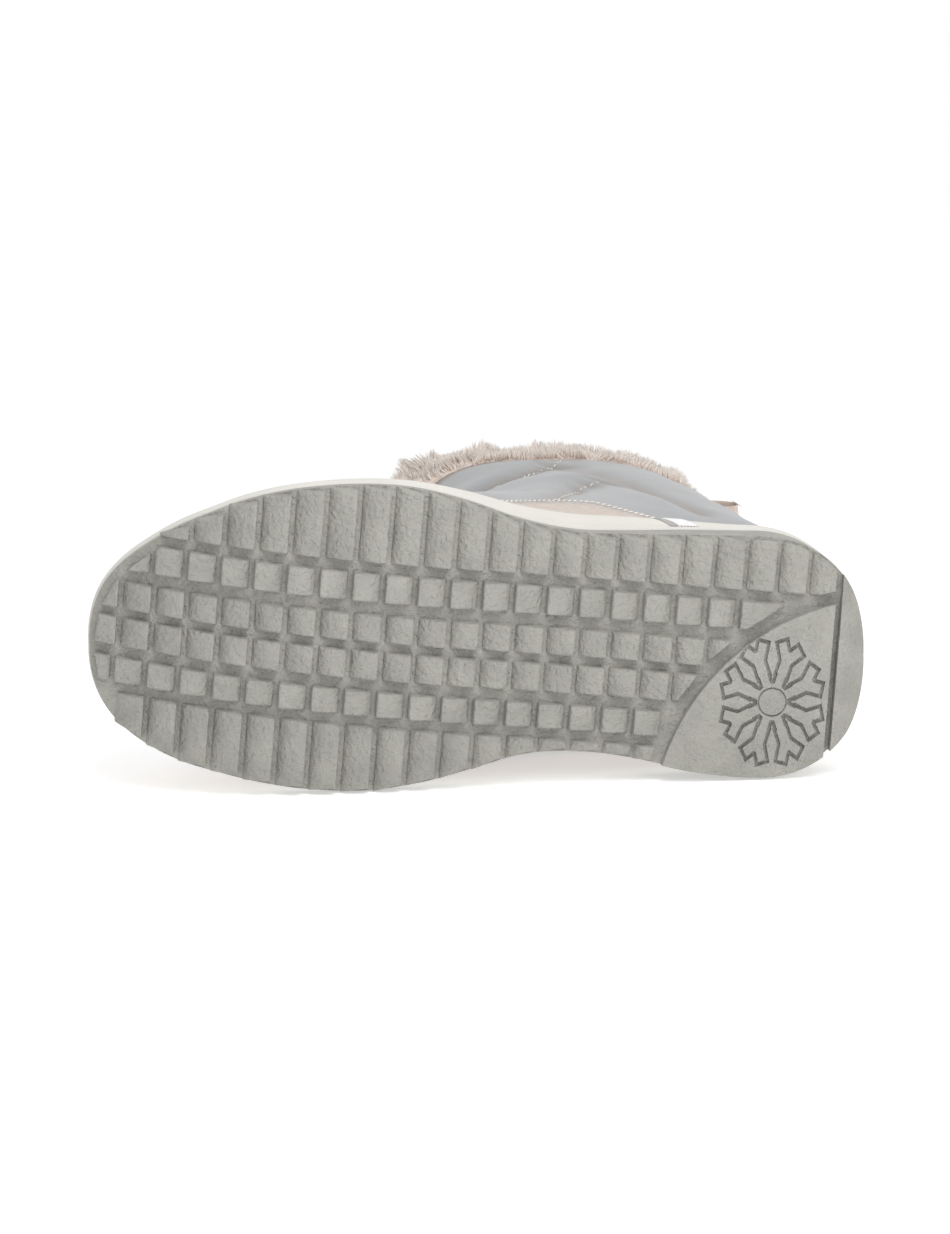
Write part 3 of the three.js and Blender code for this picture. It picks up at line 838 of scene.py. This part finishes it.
quilt = {
    # each line runs over x, z on both sides; depth below zero is a ridge; the last value is how much painted
    # shade darkens the nylon in its crease
    "lines": (
        {"path": ((158, 150), (140, 149), (122, 151), (112, 155.5), (105.6, 157.3), (99, 164.7),
            (91.5, 176.7), (86.4, 186), (81, 198), (74, 206), (50, 208), (10, 205)),
         "depth": 3.8, "width": 5.0, "stitched": True, "tint": 1.0},
        {"path": ((152, 145), (140, 147), (126, 150)),
         "depth": 2.4, "width": 4.5, "tint": 1.0},
        {"path": ((84, 172), (80.6, 158.4), (75.5, 145.5), (70, 128.7), (61.5, 107), (53.8, 86), (47, 72)),
         "depth": 2.9, "width": 6.0, "tint": 0.8},
        {"path": ((92.5, 135), (85, 131.6), (78.2, 124.9), (72.4, 110.7), (67, 95.3), (61.9, 79)),
         "depth": -1.8, "width": 7.5, "tint": 0},
        {"path": ((160, 84), (146, 72), (130, 56), (118, 50), (112, 58), (104, 74), (95, 98), (86, 116),
            (79, 121)),
         "depth": 3.2, "width": 4.8, "stitched": True, "tint": 0.8},
        {"path": ((22, 128), (36, 122), (48, 112)),
         "depth": 1.6, "width": 9.0, "tint": 0.2},
        {"path": ((158, 116), (140, 112), (124, 110), (112, 114)),
         "depth": 1.8, "width": 7.0, "tint": 0.4},
    ),
    "crown": 0.7, "pucker": 0.5, "puckerScale": 0.2, "puckerReach": 8, "slack": 1.1,
    "slackScale": (0.03, 0.012, 0.03, 0.05), "sharp": 1.5, "tintReach": 0.8,
    # heights: over the band, where the lines get shallow, where relief ends, where the painted shadow under
    # the fur collar begins
    "overBand": (2, 12), "shallow": (172, 192), "shallowness": 0.8, "flat": (185, 195),
    "gap": {"height": (185, 193), "front": (100, 122), "tint": 0.9},
    "stitch": {"pitch": 3.4, "long": 1.25, "thick": 0.33, "proud": 0.1, "walk": 1.5, "splay": 20,
            "cast": 90, "span": (24, 134), "overBand": 4, "top": 190},
}
rand = {
    "side": 14.5, "heel": 26, "heelRun": (5, 54), "toe": 24, "toeRun": (170, 240), "arch": (19, 97, 30),
    "low": 2.5, "thickness": 1.5, "proud": 0.35, "rows": 9, "castFrom": 28, "cast": 60,
    "core": Vector((135, 0, 50)), "smooth": 0.3, "smoothings": 2,
    "stitch": {"pitch": 2.1, "long": 1.35, "thick": 0.4, "slant": 42, "proud": 0.15},
}


def lastSide(x, z, side, reach):
    centre, half = soleEdge(min(max(x, 1), sole["length"] - 1))
    above, rate, soft = last["free"]
    high = max(0, z - level("rim", x) - above) * rate
    limit = max(half + bulgeAt(x, "lateral" if side > 0 else "medial") - last["lip"] + high, 1)
    kept = -soft * math.log(math.exp(-reach / soft) + math.exp(-limit / soft))
    centre += (last["shaftY"] - centre) * ease(*last["shaftRun"], z)
    return centre + side * max(kept, reach * last["narrowest"])


def lastRing(place):
    backX, backZ, frontX, frontZ, half, mid, low, high = (readRows(last["rows"], k, place) for k in range(8))
    openness = max(1 - place / last["toeRows"], 0)
    rounding = max((1 - openness ** last["power"]) ** (1 / last["power"]), last["least"])
    sill = level("rim", frontX) + last["sill"]
    if openness > 0:
        frontZ = sill + (frontZ - sill) * rounding
    ring = []
    for k in range(last["points"]):
        angle = 2 * math.pi * (k + 0.5) / last["points"]
        up = math.sin(angle)
        power = 2 / (low if up < 0 else high)
        rise = math.copysign(abs(up) ** power, up)
        share = mid + rise * (mid if up < 0 else 1 - mid)
        x, z = backX + (frontX - backX) * share, backZ + (frontZ - backZ) * share
        reach = half * rounding * abs(math.cos(angle)) ** power
        y = lastSide(x, z, math.copysign(1, math.cos(angle)), reach)
        ring.append(Vector((x, y, max(z, level("footbed", x) + last["overBed"]))))
    return ring


def lineAway(point, path):
    spot = Vector((point.x, point.z))
    best = 1e9
    for a, b in zip(path, path[1:]):
        start, reach = Vector(a), Vector(b) - Vector(a)
        share = min(max((spot - start).dot(reach) / reach.length_squared, 0), 1)
        best = min(best, (spot - start - reach * share).length)
    return best


def quiltRelief(point):
    free = ease(*quilt["overBand"], point.z - randTop(point.x))
    flat = 1 - ease(*quilt["flat"], point.z)
    # the second value returned is painted shade, darkest in the creases and just under the fur collar
    relief, tint = quilt["crown"], 0
    shallow = 1 - quilt["shallowness"] * ease(*quilt["shallow"], point.z)
    for line in quilt["lines"]:
        away = lineAway(point, line["path"])
        if away > 4 * line["width"]:
            continue
        relief -= line["depth"] * shallow * math.exp(-abs(away / line["width"]) ** quilt["sharp"])
        tint = max(tint, line["tint"] * shallow * bump(away, 0, line["width"] * quilt["tintReach"]))
        if line.get("stitched"):
            size = quilt["puckerScale"]
            wave = noise.noise(Vector((point.x * size, point.y * size, point.z * size)))
            relief += quilt["pucker"] * wave * math.exp(-away / quilt["puckerReach"])
    # painted shadow on the nylon just under the front of the fur collar
    gap = quilt["gap"]
    tint = max(tint, gap["tint"] * ease(*gap["height"], point.z) * ease(*gap["front"], point.x))
    alongX, slant, alongY, alongZ = quilt["slackScale"]
    folds = noise.noise(Vector((point.x * alongX + point.z * slant, point.y * alongY, point.z * alongZ)))
    return free * flat * (relief + quilt["slack"] * folds), free * tint


def randTop(x):
    height, centre, reach = rand["arch"]
    heelPart = (rand["heel"] - rand["side"]) * (1 - ease(*rand["heelRun"], x))
    toePart = (rand["toe"] - rand["side"]) * ease(*rand["toeRun"], x)
    return level("rim", x) + rand["side"] + heelPart + toePart + height * bump(x, centre, reach)


def makeUpperSkin():
    turns = [k / last["toeRings"] * math.pi / 2 for k in range(last["toeRings"])]
    places = [last["toeRows"] * (1 - math.cos(turn)) for turn in turns]
    rest = len(last["rows"]) - 1 - last["toeRows"]
    places += [last["toeRows"] + k / last["perRow"] for k in range(rest * last["perRow"] + 1)]
    bm = latticeSkin([lastRing(place) for place in places])
    toe = [edge for edge in bm.edges if edge.is_boundary and edge.verts[0].co.x > last["toeFrom"]]
    bmesh.ops.holes_fill(bm, edges=toe)
    faceOut(bm)
    low = {vert for vert in bm.verts
           if vert.co.z < level("footbed", vert.co.x) + last["bedCut"] and vert.co.x < last["bedEnd"]}
    bmesh.ops.delete(bm, geom=[face for face in bm.faces if low.issuperset(face.verts)], context="FACES")
    geom = bm.verts[:] + bm.edges[:] + bm.faces[:]
    bmesh.ops.bisect_plane(bm, geom=geom, plane_co=(0, 0, last["top"]), plane_no=(0, 0, 1), clear_outer=True)
    outward = sum((face.calc_center_median() - last["core"]).dot(face.normal) > 0 for face in bm.faces)
    if outward < len(bm.faces) / 2:
        bmesh.ops.reverse_faces(bm, faces=bm.faces)
    bm.normal_update()
    return bm


def smoothSkin(bm, factor):
    bmesh.ops.smooth_vert(bm, verts=bm.verts, factor=factor, use_axis_x=True, use_axis_y=True,
                          use_axis_z=True)


def makeUpper():
    bm = makeUpperSkin()
    plain = BVHTree.FromBMesh(bm)
    # the seam attribute holds painted shade for the creases and for the nylon under the fur collar
    shade = bm.verts.layers.float.new("seam")
    moves = [(vert, vert.normal.copy(), *quiltRelief(vert.co)) for vert in bm.verts]
    for vert, normal, relief, tint in moves:
        vert[shade] = tint
        vert.co += normal * relief
    smoothSkin(bm, last["smooth"])
    quilted = BVHTree.FromBMesh(bm)
    skin = asMesh(bm, "quilted_upper")
    upper = placePiece(skin, "quilted_upper", ["nylon", "plush"], "upper", 60)
    wall = upper.modifiers.new("wall", "SOLIDIFY")
    wall.thickness = last["wall"] * metres
    wall.offset = -1
    wall.material_offset = 1
    wall.material_offset_rim = 1
    return plain, quilted


def makeRand(skin):
    rings = []
    for k in range(rand["rows"]):
        ring = []
        for (x, y), (nx, ny) in zip(outlinePoints[::2], outlineNormals[::2]):
            low, high = level("rim", x) - rand["low"], randTop(x)
            z = low + (high - low) * k / (rand["rows"] - 1)
            out = Vector((nx, ny, 0))
            start = Vector((x, y, z)) - out * rand["castFrom"]
            hit, normal, _, _ = skin.ray_cast(start, out, rand["cast"])
            ring.append(hit + normal * (rand["proud"] + rand["thickness"]))
        rings.append(ring)
    bm = latticeSkin(rings)
    faceOut(bm)
    if sum(face.normal.dot(face.calc_center_median() - rand["core"]) for face in bm.faces) < 0:
        bmesh.ops.reverse_faces(bm, faces=bm.faces)
    for _ in range(rand["smoothings"]):
        smoothSkin(bm, rand["smooth"])
    piece = placePiece(asMesh(bm, "suede_band"), "suede_band", ["suede"], "suede_rand", 60)
    hide = piece.modifiers.new("hide", "SOLIDIFY")
    hide.thickness = rand["thickness"] * metres
    hide.offset = -1
    return rings[-1]


def sewStitches(name, places, stitch):
    together = bmesh.new()
    long, thick = stitch["long"], stitch["thick"]
    for place, direction, normal in places:
        side = direction.cross(normal).normalized()
        axes = (side * thick, direction.normalized() * long, normal * thick)
        put = Matrix.Translation(place) @ Matrix(axes).transposed().to_4x4()
        bmesh.ops.create_icosphere(together, subdivisions=1, radius=1, matrix=put)
    bmesh.ops.recalc_face_normals(together, faces=together.faces)
    placePiece(asMesh(together, name), name, ["thread"], None, 80)


def walkEvenly(points, pitch):
    run, places = 0.0, []
    for a, b in zip(points, points[1:]):
        length = (b - a).length
        while run < length:
            places.append((a.lerp(b, run / length), (b - a).normalized()))
            run += pitch
        run -= length
    return places


def whipStitches(edge, skin):
    stitch, places = rand["stitch"], []
    for place, along in walkEvenly(edge + edge[:1], stitch["pitch"]):
        _, normal, _, _ = skin.find_nearest(place)
        turned = Matrix.Rotation(math.radians(stitch["slant"]), 3, normal) @ along
        places.append((place + normal * stitch["proud"], turned, normal))
    sewStitches("rand_stitches", places, stitch)


def seamPath(skin, line, side):
    stitch, path = quilt["stitch"], []
    back, front = stitch["span"]
    for spot, _ in walkEvenly([Vector((x, 0, z)) for x, z in line["path"]], stitch["walk"]):
        centre = Vector((min(max(spot.x, back), front), last["shaftY"], spot.z))
        ray = Vector((spot.x - centre.x, side * stitch["splay"], 0))
        hit, _, _, _ = skin.ray_cast(centre, ray.normalized(), stitch["cast"])
        if hit and randTop(spot.x) + stitch["overBand"] < spot.z < stitch["top"]:
            path.append(hit)
    return path


def seamStitches(skin):
    stitch, places = quilt["stitch"], []
    for line in quilt["lines"]:
        for side in (1, -1) if line.get("stitched") else ():
            for place, along in walkEvenly(seamPath(skin, line, side), stitch["pitch"]):
                _, normal, _, _ = skin.find_nearest(place)
                places.append((place + normal * stitch["proud"], along, normal))
    sewStitches("seam_stitches", places, stitch)


plainSkin, quiltedSkin = makeUpper()
randEdge = makeRand(plainSkin)
whipStitches(randEdge, plainSkin)
seamStitches(quiltedSkin)
print("upper and rand made")

# fur collar
collar = {
    "axis": (82, 1), "around": 168, "castTop": 213, "cast": 120, "thick": 1.2,
    # how far out of the shaft's skin, height
    "profile": ((0.2, 193.5), (0.4, 194.0), (0.5, 196.5), (0.6, 203), (0.7, 211), (0.6, 219),
            (0.0, 224.5), (-0.9, 227.5), (-3.2, 228.2), (-6.0, 226.5), (-7.6, 221), (-8.0, 212),
            (-7.4, 204), (-5.4, 199)),
    # angle from the toe, its reach, how far the fur opens out there
    "flare": ((14, 15, 9.5), (66, 9, -1.6), (-28, 24, 3.5)),
    "openRun": (192, 204), "lump": 1.3, "lumpScale": (0.11, 0.13), "lumpRise": 0.6, "least": 0.3,
    "outside": 19800, "inside": 15000, "split": 7, "seed": 7, "offFloor": 0.0003,
}
strand = {
    "radius": 0.26, "length": (3.0, 5.6), "sunk": 0.4, "rings": ((0.0, 1.0), (0.5, 0.75)),
    # noise sizes and shifts of the clumps, the curl and the tufts
    "clump": (0.13, (0, 0, 0)), "curl": (0.32, (9, 3, 5)), "tuft": (0.09, (4, 1, 2)),
    # lean: share of the ground's normal, of straight up, of the curl, and chance
    "outwards": 0.75, "upwards": 0.55, "curlLean": 0.3, "stray": 0.08,
    # length: middle, share of the tufts, chance and most; then how far the tips drop
    "usual": 0.5, "tufted": 1.3, "uneven": 0.12, "most": 1.1, "drop": (0.9, 0.8, 0.35),
    # a cone of two rings of three and a tip
    "cone": ((2, 1, 0), (0, 1, 4), (0, 4, 3), (1, 2, 5), (1, 5, 4), (2, 0, 3), (2, 3, 5), (3, 4, 6),
            (4, 5, 6), (5, 3, 6)),
}


def makeCollarGround(skin):
    rings = []
    wide, tall = collar["lumpScale"]
    for out, z in collar["profile"]:
        ring = []
        for k in range(collar["around"]):
            angle = 2 * math.pi * k / collar["around"]
            ray = Vector((math.cos(angle), math.sin(angle), 0))
            start = Vector((*collar["axis"], min(z, collar["castTop"])))
            hit, normal, _, _ = skin.ray_cast(start, ray, collar["cast"])
            flat = flatten(normal).normalized()
            lump = collar["lump"] * noise.noise(Vector((hit.x * wide, hit.y * wide, z * tall)))
            turned = math.degrees(math.atan2(ray.y, ray.x))
            opening = sum(far * bump(turned, at, span) for at, span, far in collar["flare"])
            opening *= ease(*collar["openRun"], z)
            reach = max(out + lump, collar["least"]) if out > 0 else out + lump
            place = hit + flat * (reach + opening)
            ring.append(Vector((place.x, place.y, z + lump * collar["lumpRise"])))
        rings.append(ring)
    bm = latticeSkin(rings)
    faceOut(bm)
    top = max(bm.faces, key=lambda face: face.calc_center_median().z)
    if top.normal.z < 0:
        bmesh.ops.reverse_faces(bm, faces=bm.faces)
    bm.faces.ensure_lookup_table()
    ground = bm.copy()
    bmesh.ops.solidify(bm, geom=bm.faces[:], thickness=collar["thick"])
    placePiece(asMesh(bm, "fur_ground"), "fur_ground", ["furGround"], "fur_collar", 70)
    return ground


def drift(read, roots, scale, way):
    return np.array([read(Vector(place) * scale + Vector(way)) for place in roots])


def pickRoots(faces, count, chance):
    areas = np.array([face.calc_area() for face in faces])
    picks = chance.choice(len(faces), count, p=areas / areas.sum())
    corners = np.array([[vert.co for vert in faces[k].verts[:4]] for k in picks], float)
    normals = np.array([faces[k].normal for k in picks], float)
    s, t = chance.random((2, count, 1))
    lower = corners[:, 0] * (1 - s) + corners[:, 1] * s
    upper = corners[:, 3] * (1 - s) + corners[:, 2] * s
    return lower * (1 - t) + upper * t, normals


def growFur(ground, title, count, keep, seed):
    chance = np.random.default_rng(seed)
    roots, normals = pickRoots([face for face in ground.faces if keep(face)], count, chance)
    clump, curl = (drift(noise.noise_vector, roots, *strand[name]) for name in ("clump", "curl"))
    lean = strand["outwards"] * normals + strand["upwards"] * np.array([0, 0, 1.0]) + clump
    lean = lean + curl * strand["curlLean"] + chance.normal(0, strand["stray"], (count, 3))
    lean /= np.linalg.norm(lean, axis=1)[:, None]
    low, high = strand["length"]
    grown = strand["usual"] + drift(noise.noise, roots, *strand["tuft"]) * strand["tufted"]
    grown = grown + chance.normal(0, strand["uneven"], count)
    length = (low + (high - low) * np.clip(grown, 0, strand["most"]))[:, None]
    byClump, byCurl, dropShare = strand["drop"]
    drop = (clump * byClump + curl * byCurl) * length * dropShare
    side = np.cross(lean, chance.normal(size=(count, 3)))
    side /= np.linalg.norm(side, axis=1)[:, None]
    other = np.cross(lean, side)
    verts, tips = [], []
    for share, width in strand["rings"]:
        middle = roots + lean * length * share + drop * share**2 - normals * strand["sunk"]
        for k in range(3):
            angle = 2 * math.pi * k / 3
            ring = side * math.cos(angle) + other * math.sin(angle)
            verts.append(middle + ring * strand["radius"] * width)
            tips.append(np.full(count, share))
    verts.append(roots + lean * length + drop)
    tips.append(np.ones(count))
    faceList = np.array(strand["cone"])[None] + len(verts) * np.arange(count)[:, None, None]
    mesh = bpy.data.meshes.new(title)
    mesh.from_pydata(np.stack(verts, 1).reshape(-1, 3), [], faceList.reshape(-1, 3).tolist())
    # the root value paints shade near each strand's root
    root = mesh.attributes.new("root", "FLOAT", "POINT")
    root.data.foreach_set("value", 1 - np.stack(tips, 1).reshape(-1).astype(np.float32))
    piece = placePiece(mesh, title, ["furStrand"], None, 120)
    for vert in piece.data.vertices:
        vert.co.z = max(vert.co.z, collar["offFloor"])


ground = makeCollarGround(plainSkin)
edgeRow = collar["split"] * collar["around"]
growFur(ground, "fur_outside", collar["outside"], lambda face: face.index < edgeRow, collar["seed"])
growFur(ground, "fur_inside", collar["inside"], lambda face: face.index >= edgeRow, collar["seed"] + 1)
ground.free()
print("fur grown")

# pull loop and insole
pull = {"x": 19.6, "middle": 210, "out": 9.5, "reach": 12, "turn": 100, "y": (14, 26), "sag": 0.5,
        "thick": 1.6, "edge": 0.4}


def makePullLoop():
    bm = bmesh.new()
    bmesh.ops.create_grid(bm, x_segments=36, y_segments=6, size=1)
    for vert in bm.verts:
        angle = vert.co.x * math.radians(pull["turn"])
        over = (vert.co.y + 1) / 2
        sag = pull["sag"] * math.sin(over * math.pi)
        x = pull["x"] - (pull["out"] + sag) * math.cos(angle)
        z = pull["middle"] + pull["reach"] * math.sin(angle)
        vert.co = Vector((x, pull["y"][0] + (pull["y"][1] - pull["y"][0]) * over, z))
    bmesh.ops.solidify(bm, geom=bm.faces[:], thickness=pull["thick"])
    edges = [edge for edge in bm.edges if edge.calc_face_angle(0) > 1]
    bmesh.ops.bevel(bm, geom=edges, affect="EDGES", offset=pull["edge"], segments=2, profile=0.5, material=-1)
    faceOut(bm)
    placePiece(asMesh(bm, "loop_strap"), "loop_strap", ["loopTape"], "pull_loop", 50)


makePullLoop()
insole = frame["nodes"]["insole"]
insole.data.materials.clear()
insole.data.materials.append(finish["plush"])
print("loop and insole done")
